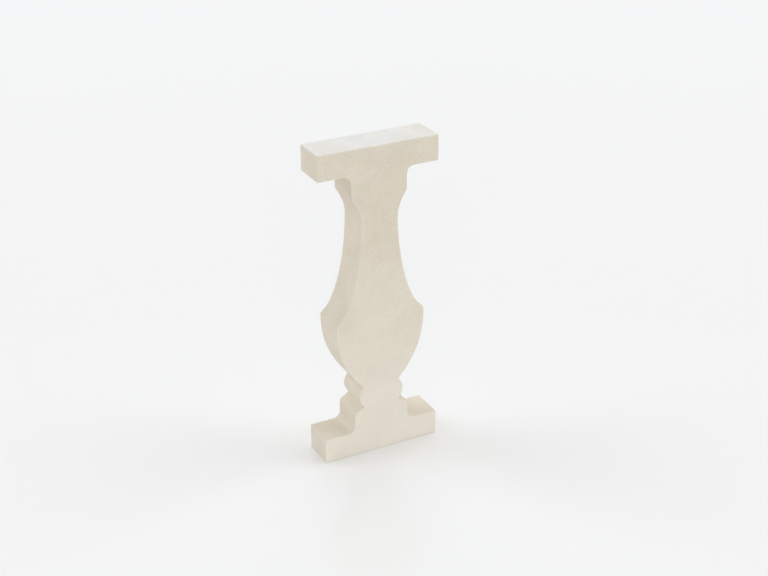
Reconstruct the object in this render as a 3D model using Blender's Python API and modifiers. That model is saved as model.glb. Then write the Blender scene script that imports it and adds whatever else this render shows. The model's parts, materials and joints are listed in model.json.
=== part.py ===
"""Stone baluster: a flat slab of pale cast stone with a symmetric baluster profile.

One solid, 625 mm high. Metres, +Z up. The origin is the centre of the underside,
X runs across the profile and the front faces -Y.
Run with: blender --background --python part.py
"""

import math

import bpy
from mathutils import Matrix, Vector

# The slab
THICKNESS = 0.070
ARRIS_WIDTH = 0.0025

# Square-ended base block, and the foot that rises from it
BASE_WIDTH = 0.240
BASE_HEIGHT = 0.050
FOOT_WIDTH = 0.114
FOOT_HEIGHT = 0.040
FOOT_COVE_RADIUS = 0.015

# The foot's sloping shoulder runs in to the quirk, the notch under the bead
SHOULDER_HEIGHT = 0.012
SHOULDER_RADIUS = 0.007
QUIRK_WIDTH = 0.072

# Bead, and the waist above it
BEAD_WIDTH = 0.093
BEAD_HEIGHT = 0.043
WAIST_WIDTH = 0.075

# Belly: one arc from the waist out to a sharp corner
BELLY_WIDTH = 0.183
BELLY_HEIGHT = 0.142
BELLY_RADIUS = 0.187

# Sleeve: a hollow sweep from the belly's corner in to the neck
SLEEVE_HEIGHT = 0.191
SLEEVE_LEAN = math.radians(52.7)
SLEEVE_SWEEP = 0.87
SLEEVE_EASE = 0.125
NECK_WIDTH = 0.074

# Head: an ogee of two arcs out to straight sides, then a cove under the cap
OGEE_HEIGHT = 0.060
OGEE_UPPER_RADIUS = 0.024
HEAD_WIDTH = 0.112
HEAD_HEIGHT = 0.037
CAP_COVE_RADIUS = 0.015

# Square-ended cap block
CAP_WIDTH = 0.240
CAP_HEIGHT = 0.050

# Pale beige cast stone, dry and matt
STONE_COLOUR = (0.70, 0.64, 0.54, 1)
STONE_ROUGHNESS = 0.75

# The half outline is drawn this far past the middle, and the mirror trims it there
MIDDLE_OVERLAP = 0.010

# How finely curves and arrises are faceted
STEPS_PER_CURVE = 12
ARRIS_SEGMENTS = 2
MERGE_DISTANCE = 0.0001
SAME_PLANE_ANGLE = math.radians(0.5)
ARRIS_ANGLE = math.radians(20)


class HalfOutline:
    """Bezier knots of the right half of the profile, drawn from the underside up."""

    def __init__(self, x, z):
        self.knots = [{"co": Vector((x, z)), "before": None, "after": None}]

    def end(self):
        return self.knots[-1]["co"]

    def line_to(self, x, z):
        """A straight stretch to (x, z)."""
        self.knots.append({"co": Vector((x, z)), "before": None, "after": None})

    def curve_to(self, handle_out, handle_in, x, z):
        """A curved stretch to (x, z), with its two handles."""
        self.knots[-1]["after"] = Vector(handle_out)
        self.knots.append({"co": Vector((x, z)), "before": Vector(handle_in), "after": None})

    def arc_to(self, x, z, radius, bulge):
        """A circular arc to (x, z). It swells outwards for bulge 1, inwards for bulge -1."""
        start, stop = self.end(), Vector((x, z))
        chord = stop - start
        half_angle = math.asin(chord.length / (2 * radius))
        reach = radius * 4 / 3 * math.tan(half_angle / 2)
        leaving = Matrix.Rotation(-bulge * half_angle, 2) @ chord.normalized()
        arriving = Matrix.Rotation(bulge * half_angle, 2) @ chord.normalized()
        self.curve_to(start + leaving * reach, stop - arriving * reach, x, z)

    def round_corner(self, corner, after, radius, bulge):
        """A straight stretch towards corner, then an arc that turns it towards after."""
        corner, after = Vector(corner), Vector(after)
        back = (self.end() - corner).normalized()
        on = (after - corner).normalized()
        half_turn = (math.pi - back.angle(on)) / 2
        setback = radius * math.tan(half_turn)
        self.line_to(*(corner + back * setback))
        self.arc_to(*(corner + on * setback), radius, bulge)


def draw_half_outline():
    """The right half of the profile, up its outer side and closed a little past the middle."""
    base_top = BASE_HEIGHT
    foot_top = base_top + FOOT_HEIGHT
    quirk = foot_top + SHOULDER_HEIGHT
    waist = quirk + BEAD_HEIGHT
    belly_corner = waist + BELLY_HEIGHT
    neck = belly_corner + SLEEVE_HEIGHT
    head_bottom = neck + OGEE_HEIGHT
    cap_bottom = head_bottom + HEAD_HEIGHT
    cap_top = cap_bottom + CAP_HEIGHT

    half = HalfOutline(-MIDDLE_OVERLAP, 0)
    half.line_to(BASE_WIDTH / 2, 0)
    half.line_to(BASE_WIDTH / 2, base_top)

    # Foot, with a cove at its base and a rounded shoulder
    foot_x = FOOT_WIDTH / 2
    quirk_x = QUIRK_WIDTH / 2
    half.round_corner((foot_x, base_top), (foot_x, foot_top), FOOT_COVE_RADIUS, -1)
    half.round_corner((foot_x, foot_top), (quirk_x, quirk), SHOULDER_RADIUS, 1)
    half.line_to(quirk_x, quirk)

    # Bead: the arc from quirk to waist that swells to the bead's width
    waist_x = WAIST_WIDTH / 2
    chord = math.hypot(waist_x - quirk_x, BEAD_HEIGHT)
    swell = BEAD_WIDTH / 2 - (quirk_x + waist_x) / 2
    bead_radius = (chord ** 2 / 4 + swell ** 2) / (2 * swell)
    half.arc_to(waist_x, waist, bead_radius, 1)

    belly_x = BELLY_WIDTH / 2
    half.arc_to(belly_x, belly_corner, BELLY_RADIUS, 1)

    # Sleeve: it leaves the corner at its lean and comes upright at the neck
    neck_x = NECK_WIDTH / 2
    run_in = SLEEVE_SWEEP * (belly_x - neck_x)
    leaving = (belly_x - run_in, belly_corner + run_in / math.tan(SLEEVE_LEAN))
    arriving = (neck_x, neck - SLEEVE_EASE * SLEEVE_HEIGHT)
    half.curve_to(leaving, arriving, neck_x, neck)

    # Ogee: both arcs turn by the same angle, so it starts and ends upright
    head_x = HEAD_WIDTH / 2
    turn = 2 * math.atan2(head_x - neck_x, OGEE_HEIGHT)
    lower_radius = OGEE_HEIGHT / math.sin(turn) - OGEE_UPPER_RADIUS
    middle_x = neck_x + lower_radius * (1 - math.cos(turn))
    middle_z = neck + lower_radius * math.sin(turn)
    half.arc_to(middle_x, middle_z, lower_radius, -1)
    half.arc_to(head_x, head_bottom, OGEE_UPPER_RADIUS, 1)

    # Head's straight side, the cove, and the cap
    cap_x = CAP_WIDTH / 2
    half.round_corner((head_x, cap_bottom), (cap_x, cap_bottom), CAP_COVE_RADIUS, -1)
    half.line_to(cap_x, cap_bottom)
    half.line_to(cap_x, cap_top)
    half.line_to(-MIDDLE_OVERLAP, cap_top)
    return half.knots


def clear_scene():
    for scene_object in list(bpy.data.objects):
        bpy.data.objects.remove(scene_object, do_unlink=True)


def cast_stone():
    material = bpy.data.materials.new("cast_stone")
    material.use_nodes = True
    shader = material.node_tree.nodes["Principled BSDF"]
    shader.inputs["Base Color"].default_value = STONE_COLOUR
    shader.inputs["Roughness"].default_value = STONE_ROUGHNESS
    shader.inputs["Metallic"].default_value = 0
    material.diffuse_color = STONE_COLOUR
    return material


def half_slab_curve():
    """The half profile as a filled 2D curve as thick as the slab."""
    knots = draw_half_outline()
    curve = bpy.data.curves.new("baluster", "CURVE")
    curve.dimensions = "2D"
    curve.fill_mode = "BOTH"
    curve.extrude = THICKNESS / 2
    curve.resolution_u = STEPS_PER_CURVE
    spline = curve.splines.new("BEZIER")
    spline.bezier_points.add(len(knots) - 1)
    for point, knot in zip(spline.bezier_points, knots):
        point.co = (*knot["co"], 0)
        for side, handle in (("left", knot["before"]), ("right", knot["after"])):
            kind = "VECTOR" if handle is None else "FREE"
            setattr(point, f"handle_{side}_type", kind)
            if handle is not None:
                setattr(point, f"handle_{side}", (*handle, 0))
    spline.use_cyclic_u = True
    return curve


def soften_arrises(half_slab):
    """Joins the curve's loose caps, makes each face whole and rounds every sharp edge."""
    weld = half_slab.modifiers.new("join caps", "WELD")
    weld.merge_threshold = MERGE_DISTANCE
    planar = half_slab.modifiers.new("whole faces", "DECIMATE")
    planar.decimate_type = "DISSOLVE"
    planar.angle_limit = SAME_PLANE_ANGLE
    arris = half_slab.modifiers.new("soft arrises", "BEVEL")
    arris.width = ARRIS_WIDTH
    arris.segments = ARRIS_SEGMENTS
    arris.limit_method = "ANGLE"
    arris.angle_limit = ARRIS_ANGLE
    arris.harden_normals = True


def mirror_to_whole(half_slab):
    """Trims the half at the middle and joins it to its own reflection."""
    mirror = half_slab.modifiers.new("both halves", "MIRROR")
    mirror.use_axis[0] = True
    mirror.use_bisect_axis[0] = True
    mirror.use_mirror_merge = True
    mirror.merge_threshold = MERGE_DISTANCE


def build():
    clear_scene()
    collection = bpy.data.collections.new("stone_baluster")
    bpy.context.scene.collection.children.link(collection)
    curve = half_slab_curve()
    curve.materials.append(cast_stone())
    baluster = bpy.data.objects.new("baluster", curve)
    baluster.rotation_euler.x = math.pi / 2
    collection.objects.link(baluster)
    soften_arrises(baluster)
    mirror_to_whole(baluster)


build()
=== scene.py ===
# %% [markdown]
# # A flat stone baluster
#
# The real object is one slab of cast stone, 70 mm thick, with the outline of a turned baluster.
# It was cast in a mould: crushed pale limestone, sand and cement, pressed in damp, then left with
# the fine sandy face that the mould gave it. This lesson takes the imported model, which has the
# true sizes, and makes the surface that a camera sees: soft arrises, small air holes and grain.

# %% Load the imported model
import json
import math

import bmesh
import bpy
import numpy as np
from mathutils import Matrix, Vector, geometry, kdtree

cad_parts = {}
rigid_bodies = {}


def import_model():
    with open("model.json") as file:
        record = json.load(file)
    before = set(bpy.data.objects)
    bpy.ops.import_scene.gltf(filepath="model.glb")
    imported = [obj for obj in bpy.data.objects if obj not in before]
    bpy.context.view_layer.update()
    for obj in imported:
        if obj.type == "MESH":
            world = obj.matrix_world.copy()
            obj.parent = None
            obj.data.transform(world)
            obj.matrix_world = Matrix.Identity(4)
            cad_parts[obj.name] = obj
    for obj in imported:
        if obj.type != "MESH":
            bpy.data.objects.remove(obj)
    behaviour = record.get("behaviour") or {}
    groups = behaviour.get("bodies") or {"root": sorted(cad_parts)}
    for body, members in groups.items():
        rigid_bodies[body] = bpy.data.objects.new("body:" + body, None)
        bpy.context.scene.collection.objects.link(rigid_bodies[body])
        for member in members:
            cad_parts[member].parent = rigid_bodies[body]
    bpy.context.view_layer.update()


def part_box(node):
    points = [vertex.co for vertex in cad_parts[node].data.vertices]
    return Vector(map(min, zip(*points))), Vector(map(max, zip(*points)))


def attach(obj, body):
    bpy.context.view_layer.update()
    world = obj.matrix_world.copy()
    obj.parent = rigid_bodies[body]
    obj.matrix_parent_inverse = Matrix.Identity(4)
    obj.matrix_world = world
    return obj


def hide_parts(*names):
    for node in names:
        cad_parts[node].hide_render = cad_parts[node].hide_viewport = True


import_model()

MM = 0.001
node_low, node_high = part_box("baluster")
width, thickness, height = node_high - node_low
print(f"packed model: {width / MM:.0f} x {thickness / MM:.0f} x {height / MM:.0f} mm")

# %% [markdown]
# ## The camera
#
# The camera stands where the photographer's stood: to the left of the front, above the cap and
# looking down. A long lens keeps the uprights nearly parallel. It is set by position and by three
# angles, so that nothing has to be aimed by hand.

# %% Camera
camera_place = Vector((-0.9858, -1.9939, 1.4228))
look_down = math.radians(26.139)
turned_right = math.radians(26.885)
tilted = math.radians(-0.5)
camera = bpy.data.objects.new("camera", bpy.data.cameras.new("camera"))
camera.data.lens = 62.28
camera.data.sensor_width = 36
camera.data.clip_end = 100
level_view = Matrix.Rotation(math.pi / 2 - look_down, 4, "X")
upright = Matrix.Rotation(-turned_right, 4, "Z") @ level_view
camera.matrix_world = Matrix.Translation(camera_place) @ upright @ Matrix.Rotation(tilted, 4, "Z")
bpy.context.scene.collection.objects.link(camera)
bpy.context.scene.camera = camera
print(f"camera {camera_place.length:.2f} m from the baluster's foot")

# %% [markdown]
# ## The outline
#
# A mason would know this piece by its profile alone, so the profile comes first. It could be
# drawn by hand as a curve, but a list made from named sizes is easier to measure and to change.
# The right half is listed from the underside up as corners, each with the radius that rounds it,
# and each form adds its own. Long curves are filled in by an arc or a Bezier curve between their
# ends, and need no rounding.

# %% Arcs
point_spacing = 2.5 * MM
curve_step = math.radians(6)


def arc(start, stop, radius, bulge, step=curve_step):
    """Points between start and stop on an arc that swells outwards for bulge 1, inwards for -1."""
    chord = stop - start
    half_angle = math.asin(chord.length / (2 * radius))
    inwards = Vector((-chord.y, chord.x)).normalized() * bulge
    centre = (start + stop) / 2 + inwards * radius * math.cos(half_angle)
    count = max(round(2 * half_angle / step), round(2 * half_angle * radius / point_spacing))
    turn = bulge * 2 * half_angle / count
    return [centre + Matrix.Rotation(turn * i, 2) @ (start - centre) for i in range(1, count)]


def smooth_points(points):
    """Points that need no rounding."""
    return [(point, 0) for point in points]


# %% Base block, foot and shoulder
base_height = 50 * MM
foot_width, foot_height, foot_cove = 114 * MM, 40 * MM, 15 * MM
shoulder_height, shoulder_radius = 12 * MM, 7 * MM
outer_corner = 2.2 * MM

right = [(Vector((width / 2, 0)), outer_corner)]
z = base_height
right.append((Vector((width / 2, z)), outer_corner))
right.append((Vector((foot_width / 2, z)), foot_cove))
z += foot_height
right.append((Vector((foot_width / 2, z)), shoulder_radius))
z += shoulder_height
print(f"the shoulder ends {z / MM:.0f} mm up")

# %% Quirk and bead
quirk_width = 72 * MM
bead_width, bead_height = 93 * MM, 43 * MM
waist_width = 75 * MM
inner_corner = 1.5 * MM

quirk = Vector((quirk_width / 2, z))
z += bead_height
waist = Vector((waist_width / 2, z))
swell = bead_width / 2 - (quirk.x + waist.x) / 2
chord = (waist - quirk).length
bead_radius = (chord ** 2 / 4 + swell ** 2) / (2 * swell)
right += [(quirk, inner_corner), *smooth_points(arc(quirk, waist, bead_radius, 1))]
print(f"the bead has a radius of {bead_radius / MM:.1f} mm and ends {z / MM:.0f} mm up")

# %% Belly
belly_width, belly_height, belly_radius = 183 * MM, 142 * MM, 187 * MM

z += belly_height
belly = Vector((belly_width / 2, z))
right += [(waist, inner_corner), *smooth_points(arc(waist, belly, belly_radius, 1))]
right.append((belly, outer_corner))
print(f"the belly's sharp corner is {z / MM:.0f} mm up")

# %% Sleeve
# It leaves the belly at an angle and runs up into the neck, as one Bezier curve. Sweep is how far
# inwards the lower handle reaches, as a share of the sleeve's width. Ease is the length of the
# upper handle, as a share of its height.
sleeve_height, sleeve_lean = 191 * MM, math.radians(52.7)
sleeve_sweep, sleeve_ease = 0.87, 0.125
neck_width = 74 * MM

z += sleeve_height
neck = Vector((neck_width / 2, z))
run_in = sleeve_sweep * (belly.x - neck.x)
leaving = belly + Vector((-run_in, run_in / math.tan(sleeve_lean)))
arriving = neck - Vector((0, sleeve_ease * sleeve_height))
handles = [point.to_3d() for point in (belly, leaving, arriving, neck)]
sleeve = geometry.interpolate_bezier(*handles, round(sleeve_height / point_spacing))
right += smooth_points([point.to_2d() for point in sleeve[1:]])
print(f"the neck's narrowest point is {z / MM:.0f} mm up")

# %% Ogee, head and cap
# The ogee is two arcs that meet without a kink: hollow out of the neck, then round to the head.
ogee_height, ogee_upper_radius = 60 * MM, 24 * MM
head_width, head_height, cap_cove = 112 * MM, 37 * MM, 15 * MM
cap_height = 50 * MM

z += ogee_height
head = Vector((head_width / 2, z))
turn = 2 * math.atan2(head.x - neck.x, ogee_height)
ogee_lower_radius = ogee_height / math.sin(turn) - ogee_upper_radius
middle = neck + Vector((1 - math.cos(turn), math.sin(turn))) * ogee_lower_radius
right += smooth_points([*arc(neck, middle, ogee_lower_radius, -1), middle])
right += smooth_points([*arc(middle, head, ogee_upper_radius, 1), head])
z += head_height
right.append((Vector((head_width / 2, z)), cap_cove))
right.append((Vector((width / 2, z)), outer_corner))
right.append((Vector((width / 2, z + cap_height)), outer_corner))
print(f"right half: {len(right)} corners, {(z + cap_height) / MM:.1f} mm high")

# %% [markdown]
# ## Closing the outline
#
# The left half is the right one turned round, so the two can't differ. Then every corner with a
# radius becomes a small arc, because no mould gives a knife edge, and points are added along the
# straight runs, so that the wear that comes later has something to move.

# %% Round the corners and close the outline
corner_step = math.radians(15)


def rounded(before, corner, after, radius):
    """The points of the arc that takes the place of a corner."""
    back, on = (before - corner).normalized(), (after - corner).normalized()
    turn = math.pi - back.angle(on)
    setback = radius * math.tan(turn / 2)
    start, stop = corner + back * setback, corner + on * setback
    bulge = 1 if back.cross(on) < 0 else -1
    return [start, *arc(start, stop, radius, bulge, corner_step), stop]


def spaced_out(points):
    """The closed outline with points added wherever two are far apart."""
    result = []
    for here, following in zip(points, points[1:] + points[:1]):
        count = max(1, round((following - here).length / point_spacing))
        result += [here.lerp(following, i / count) for i in range(count)]
    return result


left = [(Vector((-point.x, point.y)), radius) for point, radius in reversed(right)]
corners = right + left
outline = []
for i, (point, radius) in enumerate(corners):
    before, after = corners[i - 1][0], corners[(i + 1) % len(corners)][0]
    outline += rounded(before, point, after, radius) if radius else [point]
outline = spaced_out(outline)
profile_top = max(point.y for point in outline)
print(f"outline of {len(outline)} points, {profile_top / MM:.1f} mm high")

# %% [markdown]
# ## Helpers for node trees
#
# Geometry Nodes and materials are both trees: nodes, the values of their inputs, and links. One
# function adds a node with all of these. Another makes a new geometry tree with named inputs, so
# that a size can be changed from outside. The third runs a tree on an object and keeps the result
# as a plain mesh, with no modifier left on it.


# %% Add a node, make a tree, run a tree
def add(tree, kind, inputs=None, **settings):
    """Adds a node. Each input is another node's output, to link from, or a constant value."""
    node = tree.nodes.new(kind)
    for name, value in settings.items():
        setattr(node, name, value)
    for name, value in (inputs or {}).items():
        if isinstance(value, bpy.types.NodeSocket):
            tree.links.new(value, node.inputs[name])
        else:
            node.inputs[name].default_value = value
    return node


def new_geometry_tree(name, **inputs):
    """A Geometry Nodes tree with the named inputs. Gives the tree and its inputs' sockets."""
    tree = bpy.data.node_groups.new(name, "GeometryNodeTree")
    tree.interface.new_socket("Geometry", in_out="OUTPUT", socket_type="NodeSocketGeometry")
    tree.interface.new_socket("Geometry", in_out="INPUT", socket_type="NodeSocketGeometry")
    for label, kind in inputs.items():
        tree.interface.new_socket(label, in_out="INPUT", socket_type="NodeSocket" + kind)
    return tree, tree.nodes.new("NodeGroupInput").outputs


def plain_mesh_from(source, tree, name, **values):
    """Runs the tree on the object, keeps the result as a plain mesh and drops the source."""
    modifier = source.modifiers.new(name, "NODES")
    modifier.node_group = tree
    for item in tree.interface.items_tree:
        if item.in_out == "INPUT" and item.name in values:
            modifier[item.identifier] = values[item.name]
    evaluated = source.evaluated_get(bpy.context.evaluated_depsgraph_get())
    mesh = bpy.data.meshes.new_from_object(evaluated)
    mesh.name = name
    bpy.data.objects.remove(source)
    made = bpy.data.objects.new(name, mesh)
    bpy.context.scene.collection.objects.link(made)
    return made


# %% [markdown]
# ## Sweeping the edge
#
# The walls and both rounded arrises are one section carried round the outline, which is what
# Curve to Mesh does. The outline lies flat in X and Y while it is swept, because the node keeps
# the section square to a flat path by itself. The faces are filled in afterwards.


# %% Two flat curves: the outline and the section
def flat_curve(name, points, closed):
    """A curve object through the points, in the X and Y plane."""
    curve = bpy.data.curves.new(name, "CURVE")
    curve.dimensions = "3D"
    spline = curve.splines.new("POLY")
    spline.points.add(len(points) - 1)
    for target, point in zip(spline.points, points):
        target.co = (point[0], point[1], 0, 1)
    spline.use_cyclic_u = closed
    made = bpy.data.objects.new(name, curve)
    bpy.context.scene.collection.objects.link(made)
    return made


arris_radius = 1.5 * MM
arris_steps = 5
wall_steps = 20
arris_centre = thickness / 2 - arris_radius
quarter_turn = [math.pi / 2 * i / arris_steps for i in range(arris_steps + 1)]
upper_arris = [(arris_radius * (math.sin(a) - 1), arris_centre + arris_radius * math.cos(a))
               for a in quarter_turn]
wall = [(0, arris_centre * (1 - 2 * i / wall_steps)) for i in range(1, wall_steps)]
lower_arris = [(x, -y) for x, y in reversed(upper_arris)]
section = flat_curve("edge_section", upper_arris + wall + lower_arris, closed=False)
print(f"section of {len(section.data.splines[0].points)} points")

# %% The sweep
sweep_tree, given = new_geometry_tree("sweep the edge", Section="Object")
section_info = add(sweep_tree, "GeometryNodeObjectInfo", {"Object": given["Section"]})
swept = add(sweep_tree, "GeometryNodeCurveToMesh", {
    "Curve": given["Geometry"], "Profile Curve": section_info.outputs["Geometry"]})
add(sweep_tree, "NodeGroupOutput", {"Geometry": swept.outputs["Mesh"]})

path = flat_curve("outline", outline, closed=True)
rim = plain_mesh_from(path, sweep_tree, "rim", Section=section)
bpy.data.objects.remove(section)
print(f"rim of {len(rim.data.polygons)} faces")

# %% [markdown]
# ## The flat faces
#
# A flat face could be one large polygon, but the slight unevenness that follows needs points
# inside it. So each face is a net of nearly equal triangles: a constrained Delaunay triangulation
# of the rim's edge and of a grid of points inside it.

# %% A net of triangles inside a loop
net_spacing = 3 * MM
clear_of_loop = 0.7 * net_spacing
only_inside = 1
net_tolerance = 1e-7


def inside(points, loop):
    """Which points lie in the loop, by counting the edges that a ray to the right crosses."""
    x, y = points[:, :1], points[:, 1:]
    x0, y0 = loop[:, 0], loop[:, 1]
    x1, y1 = np.roll(x0, -1), np.roll(y0, -1)
    spans = (y0 > y) != (y1 > y)
    with np.errstate(divide="ignore", invalid="ignore"):
        crossing = x0 + (y - y0) / (y1 - y0) * (x1 - x0)
    return (spans & (x < crossing)).sum(axis=1) % 2 == 1


def face_net(loop):
    """Points and triangles that fill the loop, with a triangular grid inside it."""
    rows = np.arange(0, height, net_spacing * math.sqrt(3) / 2)
    columns = np.arange(-width / 2, width / 2, net_spacing)
    grid = np.array([(x + net_spacing / 2 * (i % 2), y) for i, y in enumerate(rows)
                     for x in columns])
    grid = grid[inside(grid, loop)]
    tree = kdtree.KDTree(len(loop))
    for i, (x, y) in enumerate(loop):
        tree.insert((x, y, 0), i)
    tree.balance()
    clear = [point for point in grid if tree.find((*point, 0))[2] > clear_of_loop]
    points = [Vector(point) for point in loop] + [Vector(point) for point in clear]
    boundary = list(range(len(loop)))
    made = geometry.delaunay_2d_cdt(points, [], [boundary], only_inside, net_tolerance)
    return made[0], made[2]


# %% Fill both faces and weld them to the rim
weld_distance = 0.02 * MM

shell = bmesh.new()
shell.from_mesh(rim.data)
upper_edges = [edge for edge in shell.edges if edge.is_boundary and edge.verts[0].co.z > 0]
upper_loop = {point.index: point.co.xy for edge in upper_edges for point in edge.verts}
net_points, net_triangles = face_net(np.array([upper_loop[i] for i in sorted(upper_loop)]))
for side in (1, -1):
    face_points = [shell.verts.new((*point, side * thickness / 2)) for point in net_points]
    for triangle in net_triangles:
        shell.faces.new([face_points[i] for i in triangle])
bmesh.ops.remove_doubles(shell, verts=shell.verts, dist=weld_distance)
bmesh.ops.recalc_face_normals(shell, faces=shell.faces)
open_edges = sum(not edge.is_manifold for edge in shell.edges)
shell.to_mesh(rim.data)
shell.free()
print(f"closed body: {len(rim.data.polygons)} faces, {open_edges} open edges")

# %% [markdown]
# ## Worn arrises and an uneven face
#
# A mould never gives a true plane, and an arris, the edge where two faces meet, loses a little in
# handling. Both are left out of the dimensions: the surface only ever moves inwards, by less than
# a millimetre. Geometry Nodes measures how far each point is from a guide drawn along the
# arrises, so that wear stays close to them.


# %% Guide along the arrises
def arris_guide():
    """A mesh of edges only: both face outlines, and the short arrises at square corners."""
    points, edges = [], []
    for z in (thickness / 2, -thickness / 2):
        first = len(points)
        points += [(point.x, point.y, z) for point in outline]
        edges += [(first + i, first + (i + 1) % len(outline)) for i in range(len(outline))]
    for corner, radius in corners:
        if radius == outer_corner:
            points += [(corner.x, corner.y, z) for z in (thickness / 2, -thickness / 2)]
            edges.append((len(points) - 2, len(points) - 1))
    mesh = bpy.data.meshes.new("arris_guide")
    mesh.from_pydata(points, edges, [])
    made = bpy.data.objects.new("arris_guide", mesh)
    bpy.context.scene.collection.objects.link(made)
    return made


guide = arris_guide()
print(f"guide of {len(guide.data.edges)} edges")

# %% How near an arris, and where the noise is high
noise_peak = 0.75


def nearness(tree, given):
    """1 on an arris, falling to 0 at the distance Reach."""
    guide_info = add(tree, "GeometryNodeObjectInfo", {"Object": given["Guide"]})
    near = add(tree, "GeometryNodeProximity", {"Target": guide_info.outputs["Geometry"]},
               target_element="EDGES")
    fall = add(tree, "ShaderNodeMapRange", {
        "Value": near.outputs["Distance"], "From Min": 0, "From Max": given["Reach"],
        "To Min": 1, "To Max": 0}, interpolation_type="SMOOTHSTEP")
    return fall.outputs["Result"]


def noise_above(tree, size, threshold):
    """Soft noise with lumps of about that size, as the part of it above the threshold, 0 to 1."""
    inverse = add(tree, "ShaderNodeMath", {0: 1, 1: size}, operation="DIVIDE")
    noise = add(tree, "ShaderNodeTexNoise", {"Scale": inverse.outputs[0], "Detail": 2})
    part = add(tree, "ShaderNodeMapRange", {
        "Value": noise.outputs[0], "From Min": threshold, "From Max": noise_peak})
    return part.outputs["Result"]


# %% Tree: wear
# An arris keeps its shape where the noise is below its threshold, and loses most where the noise
# is high. The face's threshold is lower, so the face dips a little almost everywhere.
arris_threshold, face_threshold = 0.42, 0.3

wear_tree, given = new_geometry_tree("wear the surface", Guide="Object", Reach="Float", **{
    "Arris loss": "Float", "Arris lump": "Float", "Face dip": "Float", "Face lump": "Float"})
arris_noise = noise_above(wear_tree, given["Arris lump"], arris_threshold)
arris_part = add(wear_tree, "ShaderNodeMath", {0: nearness(wear_tree, given), 1: arris_noise},
                 operation="MULTIPLY")
arris_move = add(wear_tree, "ShaderNodeMath", {0: arris_part.outputs[0], 1: given["Arris loss"]},
                 operation="MULTIPLY")
face_noise = noise_above(wear_tree, given["Face lump"], face_threshold)
face_move = add(wear_tree, "ShaderNodeMath", {0: face_noise, 1: given["Face dip"]},
                operation="MULTIPLY")
total_move = add(wear_tree, "ShaderNodeMath", {0: arris_move.outputs[0], 1: face_move.outputs[0]},
                 operation="ADD")
inwards = add(wear_tree, "ShaderNodeMath", {0: total_move.outputs[0], 1: -1},
              operation="MULTIPLY")
normal = add(wear_tree, "GeometryNodeInputNormal")
offset = add(wear_tree, "ShaderNodeVectorMath", {
    0: normal.outputs["Normal"], "Scale": inwards.outputs[0]}, operation="SCALE")
moved = add(wear_tree, "GeometryNodeSetPosition", {
    "Geometry": given["Geometry"], "Offset": offset.outputs["Vector"]})
add(wear_tree, "NodeGroupOutput", {"Geometry": moved.outputs["Geometry"]})
print(f"wear tree of {len(wear_tree.nodes)} nodes")

# %% Wear the body
body = plain_mesh_from(rim, wear_tree, "worn_body", Guide=guide, Reach=5 * MM, **{
    "Arris loss": 0.7 * MM, "Arris lump": 11 * MM, "Face dip": 0.2 * MM, "Face lump": 80 * MM})
print(f"worn body: {len(body.data.vertices)} points")

# %% [markdown]
# ## Air holes
#
# When damp mix is pressed into a mould, small bubbles stay at its face and leave holes of about
# a millimetre. They could be painted as dark dots, but real hollows catch the light from every
# side. Points are scattered over the surface and kept off the arrises. Each gets a small squashed
# ball, and one Boolean cuts them all.

# %% Tree: scatter the balls
flattest_ball, fullest_ball = (0.7, 0.7, 0.5), (1.3, 1.3, 0.8)
bare_arris = 0.02

hole_tree, given = new_geometry_tree(
    "cut the air holes", Guide="Object", Reach="Float", Material="Material", Seed="Int", **{
        "Hole spacing": "Float", "Holes per area": "Float",
        "Smallest": "Float", "Largest": "Float"})
scattered = add(hole_tree, "GeometryNodeDistributePointsOnFaces", {
    "Mesh": given["Geometry"], "Distance Min": given["Hole spacing"],
    "Density Max": given["Holes per area"], "Seed": given["Seed"]}, distribute_method="POISSON")
too_near = add(hole_tree, "FunctionNodeCompare", {
    "A": nearness(hole_tree, given), "B": bare_arris}, operation="GREATER_THAN")
thinned = add(hole_tree, "GeometryNodeDeleteGeometry", {
    "Geometry": scattered.outputs["Points"], "Selection": too_near.outputs["Result"]})
ball = add(hole_tree, "GeometryNodeMeshIcoSphere", {"Radius": 1, "Subdivisions": 2})
radius = add(hole_tree, "FunctionNodeRandomValue", {
    2: given["Smallest"], 3: given["Largest"], "Seed": given["Seed"]}, data_type="FLOAT")
squash = add(hole_tree, "FunctionNodeRandomValue", {
    0: flattest_ball, 1: fullest_ball, "Seed": given["Seed"]}, data_type="FLOAT_VECTOR")
size = add(hole_tree, "ShaderNodeVectorMath", {
    0: squash.outputs["Value"], "Scale": radius.outputs[1]}, operation="SCALE")
balls = add(hole_tree, "GeometryNodeInstanceOnPoints", {
    "Points": thinned.outputs["Geometry"], "Instance": ball.outputs["Mesh"],
    "Rotation": scattered.outputs["Rotation"], "Scale": size.outputs["Vector"]})
realized = add(hole_tree, "GeometryNodeRealizeInstances", {
    "Geometry": balls.outputs["Instances"]})
print(f"{len(hole_tree.nodes)} nodes scatter the balls")

# %% Tree: cut the holes and clean up the mesh
# The cut leaves points a few micrometres apart where a ball meets an edge of the surface, and
# many-sided faces around the holes. So near points are merged, and every face becomes triangles.
# How near an arris each point lies is kept on the mesh, for the material to read.
merge_distance = 0.01 * MM

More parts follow.
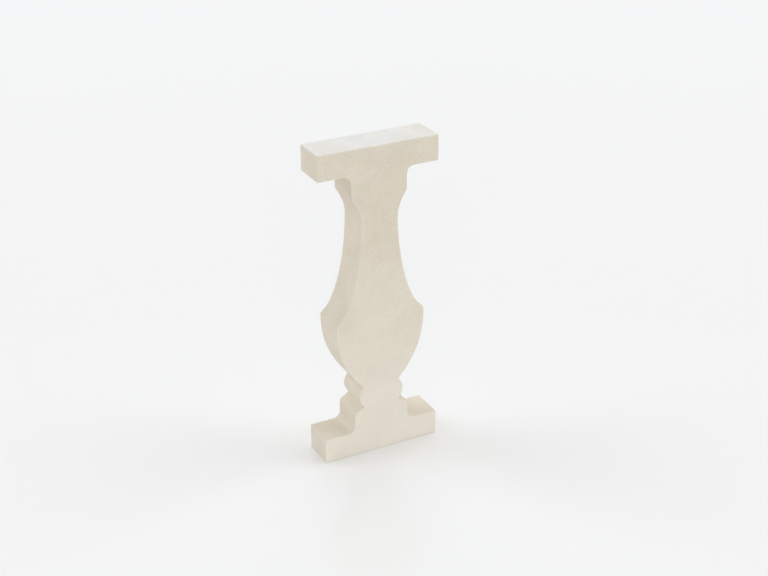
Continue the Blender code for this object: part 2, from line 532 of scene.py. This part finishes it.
cut = add(hole_tree, "GeometryNodeMeshBoolean", {
    "Mesh 1": given["Geometry"], "Mesh 2": realized.outputs["Geometry"]},
    operation="DIFFERENCE", solver="EXACT")
merged = add(hole_tree, "GeometryNodeMergeByDistance", {
    "Geometry": cut.outputs["Mesh"], "Distance": merge_distance})
triangles = add(hole_tree, "GeometryNodeTriangulate", {"Mesh": merged.outputs["Geometry"]},
                ngon_method="BEAUTY")
marked = add(hole_tree, "GeometryNodeStoreNamedAttribute", {
    "Geometry": triangles.outputs["Mesh"], "Name": "arris",
    "Value": nearness(hole_tree, given)}, data_type="FLOAT", domain="POINT")
dressed = add(hole_tree, "GeometryNodeSetMaterial", {
    "Geometry": marked.outputs["Geometry"], "Material": given["Material"]})
add(hole_tree, "NodeGroupOutput", {"Geometry": dressed.outputs["Geometry"]})
print(f"{len(hole_tree.nodes)} nodes in the whole tree")

# %% [markdown]
# ## Cast stone
#
# Close up the stone is pale sand and limestone dust with a few darker and lighter grains. From a
# distance it is one warm, chalky tone with soft clouds in it, and paler along the arrises. On top
# of that, painted shade makes the walls a little darker than the broad faces, and painted bounce
# light from the floor makes the faces paler low down. An image could hold all that, but a pattern
# that is worked out from the place in the stone has no seams and keeps its true size. It is built
# up
# as a painter would: a ground colour, then thin layers, each where its own pattern says.


# %% Colours and layers
def linear(hex_colour):
    """An sRGB hex colour as the linear values that shaders work in."""
    parts = [int(hex_colour[i:i + 2], 16) / 255 for i in (0, 2, 4)]
    return (*[p / 12.92 if p <= 0.04045 else ((p + 0.055) / 1.055) ** 2.4 for p in parts], 1)


def layer(tree, colour, pattern, start, full, share, tint):
    """Lays a tint on a colour: none of it where the pattern is at start, that share at full."""
    amount = add(tree, "ShaderNodeMapRange", {
        "Value": pattern, "From Min": start, "From Max": full, "To Min": 0, "To Max": share})
    mixed = add(tree, "ShaderNodeMix", {0: amount.outputs["Result"], 6: colour, 7: tint},
                data_type="RGBA")
    return mixed.outputs[2]


# %% Ground colour and grains
def stone_ground(tree, place):
    """The stone's own colour, with clouds of 60 mm and grains of 1.5 mm."""
    clouds = add(tree, "ShaderNodeTexNoise", {"Vector": place, "Scale": 1 / (60 * MM), "Detail": 3})
    colour = layer(tree, linear("DED5C3"), clouds.outputs[0], start=0.35, full=0.65,
                   share=1, tint=linear("E5DCCB"))
    # Each grain has a shade of its own from 0 to 1: the lowest are dark grains, the highest pale
    grains = add(tree, "ShaderNodeTexVoronoi", {"Vector": place, "Scale": 1 / (1.5 * MM)})
    parts = add(tree, "ShaderNodeSeparateColor", {"Color": grains.outputs["Color"]})
    shade = parts.outputs["Red"]
    colour = layer(tree, colour, shade, start=0.12, full=0.02, share=0.35, tint=linear("B9AC96"))
    return layer(tree, colour, shade, start=0.85, full=0.95, share=0.35, tint=linear("F3EEE4"))


# %% Arrises, painted wall shade and painted floor light
def arrises_and_painted_light(tree, colour, place, facing):
    """The colour with paler arrises, painted shade on the walls and painted bounce light low down.
    """
    arris = add(tree, "ShaderNodeAttribute", attribute_name="arris").outputs["Fac"]
    colour = layer(tree, colour, arris, start=0, full=1, share=0.12, tint=linear("F0EADF"))

    # Painted shade: walls and tops are a trace darker than the two broad faces, and the side walls
    # most of all
    faces_front = add(tree, "ShaderNodeMath", {0: facing["Y"]}, operation="ABSOLUTE")
    broad_face = add(tree, "ShaderNodeMapRange", {
        "Value": faces_front.outputs[0], "From Min": 0.4, "From Max": 0.9,
        "To Min": 0.25, "To Max": 1}).outputs["Result"]
    faces_side = add(tree, "ShaderNodeMath", {0: facing["X"]}, operation="ABSOLUTE").outputs[0]
    colour = layer(tree, colour, broad_face, start=1, full=0.25, share=0.08, tint=linear("A89B85"))
    colour = layer(tree, colour, faces_side, start=0.3, full=0.9, share=0.07, tint=linear("A89B85"))

    # Painted bounce light from the floor, paler low down and mostly on the broad faces: full up to
    # 60 mm and gone at 420 mm, and broken up in patches of 90 mm
    patches = add(tree, "ShaderNodeTexNoise", {
        "Vector": place, "Scale": 1 / (90 * MM), "Detail": 4})
    shift = add(tree, "ShaderNodeMapRange", {
        "Value": patches.outputs[0], "From Min": 0.3, "From Max": 0.7,
        "To Min": -60 * MM, "To Max": 60 * MM})
    height_above = add(tree, "ShaderNodeSeparateXYZ", {"Vector": place}).outputs["Z"]
    level = add(tree, "ShaderNodeMath", {0: height_above, 1: shift.outputs["Result"]},
                operation="ADD")
    painted_floor_light_share = add(tree, "ShaderNodeMath", {0: broad_face, 1: 0.5}, operation="MULTIPLY")
    return layer(tree, colour, level.outputs[0], start=420 * MM, full=60 * MM,
                 share=painted_floor_light_share.outputs[0], tint=linear("F8F4EA"))


# %% Relief, and the whole material
def cast_stone():
    """Dry, matt and mineral: no metal, the default IOR, and a rough face of sand."""
    material = bpy.data.materials.new("cast_stone")
    material.use_nodes = True
    tree = material.node_tree
    shader = tree.nodes["Principled BSDF"]
    coordinates = add(tree, "ShaderNodeTexCoord")
    place = coordinates.outputs["Object"]
    facing = add(tree, "ShaderNodeSeparateXYZ", {"Vector": coordinates.outputs["Normal"]}).outputs
    colour = arrises_and_painted_light(tree, stone_ground(tree, place), place, facing)
    tree.links.new(colour, shader.inputs["Base Color"])

    # Real sand grains are about 0.3 mm. They are drawn at 0.7 mm, so that they show close up.
    sand = add(tree, "ShaderNodeTexNoise", {"Vector": place, "Scale": 1 / (0.7 * MM), "Detail": 2})
    fine = add(tree, "ShaderNodeBump", {
        "Height": sand.outputs[0], "Strength": 0.35, "Distance": 0.12 * MM})
    # Shallow unevenness of 6 mm, left by the mould
    lumps = add(tree, "ShaderNodeTexNoise", {"Vector": place, "Scale": 1 / (6 * MM), "Detail": 3})
    relief = add(tree, "ShaderNodeBump", {
        "Height": lumps.outputs[0], "Normal": fine.outputs["Normal"],
        "Strength": 0.3, "Distance": 0.15 * MM})
    tree.links.new(relief.outputs["Normal"], shader.inputs["Normal"])
    roughness = add(tree, "ShaderNodeMapRange", {
        "Value": sand.outputs[0], "From Min": 0.3, "From Max": 0.7, "To Min": 0.6, "To Max": 0.78})
    tree.links.new(roughness.outputs["Result"], shader.inputs["Roughness"])
    return material


stone = cast_stone()
print(f"cast stone: {len(stone.node_tree.nodes)} nodes")

# %% [markdown]
# ## The finished baluster
#
# Now the air holes are cut and the slab is stood up, from lying flat to upright. Faces that meet
# at less than 35 degrees are shaded as one smooth surface, and sharper edges stay sharp. The
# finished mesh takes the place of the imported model's own baluster.

# %% Cut the holes and stand the baluster up
sharp_from = math.radians(35)

baluster = plain_mesh_from(body, hole_tree, "baluster_stone", Guide=guide, Reach=6 * MM,
                           Material=stone, Seed=7, **{
                               "Hole spacing": 7 * MM, "Holes per area": 700.0,
                               "Smallest": 0.35 * MM, "Largest": 0.9 * MM})
bpy.data.objects.remove(guide)
baluster.data.transform(Matrix.Rotation(math.pi / 2, 4, "X"))
baluster.data.shade_smooth()
baluster.data.set_sharp_from_angle(angle=sharp_from)
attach(baluster, "root")
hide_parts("baluster")
print(f"baluster: {len(baluster.data.polygons)} faces")

# %% [markdown]
# ## Floor and light
#
# The baluster stands on a large, polished white floor that fills the whole picture and mirrors
# it faintly. The light is a soft studio. The room is bright low down and has a dark ceiling, so
# that the floor reflects a pale wall. Two wide lights, one at each side and a little behind, cast
# the wide, pale shadows to the left and right. A low warm one in front lifts the front face, and a
# high one behind casts the short shadow in front of the base. A small cool softbox close above the
# cap whitens its top. One soft lamp could light the stone, but it would cast only one shadow.

# %% The floor
floor_reach = 40
floor_corners = [(x * floor_reach, y * floor_reach, 0)
                 for x, y in ((-1, -1), (1, -1), (1, 1), (-1, 1))]
floor_mesh = bpy.data.meshes.new("floor")
floor_mesh.from_pydata(floor_corners, [], [(0, 1, 2, 3)])
floor = bpy.data.objects.new("floor", floor_mesh)
bpy.context.scene.collection.objects.link(floor)
white = bpy.data.materials.new("polished_white_floor")
white.use_nodes = True
shader = white.node_tree.nodes["Principled BSDF"]
shader.inputs["Base Color"].default_value = linear("F9FAFA")
shader.inputs["Roughness"].default_value = 0.03
shader.inputs["IOR"].default_value = 1.9
floor_mesh.materials.append(white)
print(f"floor {2 * floor_reach} m square")

# %% The room
# Upwards is 0 at the horizon and 1 straight up. Each layer starts and ends at such a height.
cool_horizon = (0.965, 0.99, 1.035, 1)
grey_wall = (0.81, 0.803, 0.795, 1)
dark_ceiling = (0.01, 0.01, 0.01, 1)

world = bpy.data.worlds.new("studio")
bpy.context.scene.world = world
world.use_nodes = True
room = world.node_tree.nodes["Background"]
skyward = add(world.node_tree, "ShaderNodeTexCoord").outputs["Generated"]
upwards = add(world.node_tree, "ShaderNodeSeparateXYZ", {"Vector": skyward}).outputs["Z"]
room_colour = layer(world.node_tree, cool_horizon, upwards, start=0.15, full=0.45,
                    share=1, tint=grey_wall)
room_colour = layer(world.node_tree, room_colour, upwards, start=0.6, full=0.9,
                    share=1, tint=dark_ceiling)
world.node_tree.links.new(room_colour, room.inputs["Color"])
room.inputs["Strength"].default_value = 1
print(f"room: {len(world.node_tree.nodes)} nodes")

# %% Lamps
towards_camera = Vector((camera_place.x, camera_place.y, 0)).normalized()
to_the_right = Vector((-towards_camera.y, towards_camera.x, 0))


def aim(lamp, direction):
    """Turns a lamp so that it shines from that direction, and hides the lamp itself."""
    lamp.rotation_euler = direction.to_track_quat("Z", "Y").to_euler()
    lamp.visible_camera = False
    lamp.visible_glossy = False
    bpy.context.scene.collection.objects.link(lamp)


def wide_light(name, round_from_camera, elevation, spread, colour, strength):
    """A sun lamp with a wide disc, placed by angles in degrees. Right of the camera is +90.

    Spread is the disc's own width in degrees. The lamp acts as a softbox so large that its light
    doesn't fall off across the floor.
    """
    data = bpy.data.lights.new(name, "SUN")
    data.angle = math.radians(spread)
    data.color = colour
    data.energy = strength
    a, e = math.radians(round_from_camera), math.radians(elevation)
    level = towards_camera * math.cos(a) + to_the_right * math.sin(a)
    aim(bpy.data.objects.new(name, data), level * math.cos(e) + Vector((0, 0, math.sin(e))))


def softbox(name, place, target, across, deep, colour, power):
    """A rectangular area light at a place in metres, turned to a target."""
    data = bpy.data.lights.new(name, "AREA")
    data.shape = "RECTANGLE"
    data.size, data.size_y = across, deep
    data.color = colour
    data.energy = power
    lamp = bpy.data.objects.new(name, data)
    lamp.location = place
    aim(lamp, place - target)


# %% The lights
wide_light("right_light", round_from_camera=101, elevation=43, spread=36,
           colour=(0.97, 0.975, 1), strength=0.77)
wide_light("left_light", round_from_camera=-101, elevation=43, spread=36,
           colour=(0.94, 0.965, 1), strength=0.69)
wide_light("low_front_light", round_from_camera=0, elevation=15, spread=30,
           colour=(1, 0.91, 0.78), strength=0.42)
wide_light("high_back_light", round_from_camera=180, elevation=66, spread=35,
           colour=(1, 0.96, 0.91), strength=0.53)
softbox("top_box", place=Vector((0, 0, 0.8)), target=Vector((0, 0, 0.6)), across=0.36, deep=0.16,
        colour=(0.31, 0.55, 1), power=0.245)
bpy.context.scene.view_settings.view_transform = "Standard"
print(f"{len(bpy.data.lights)} lights")
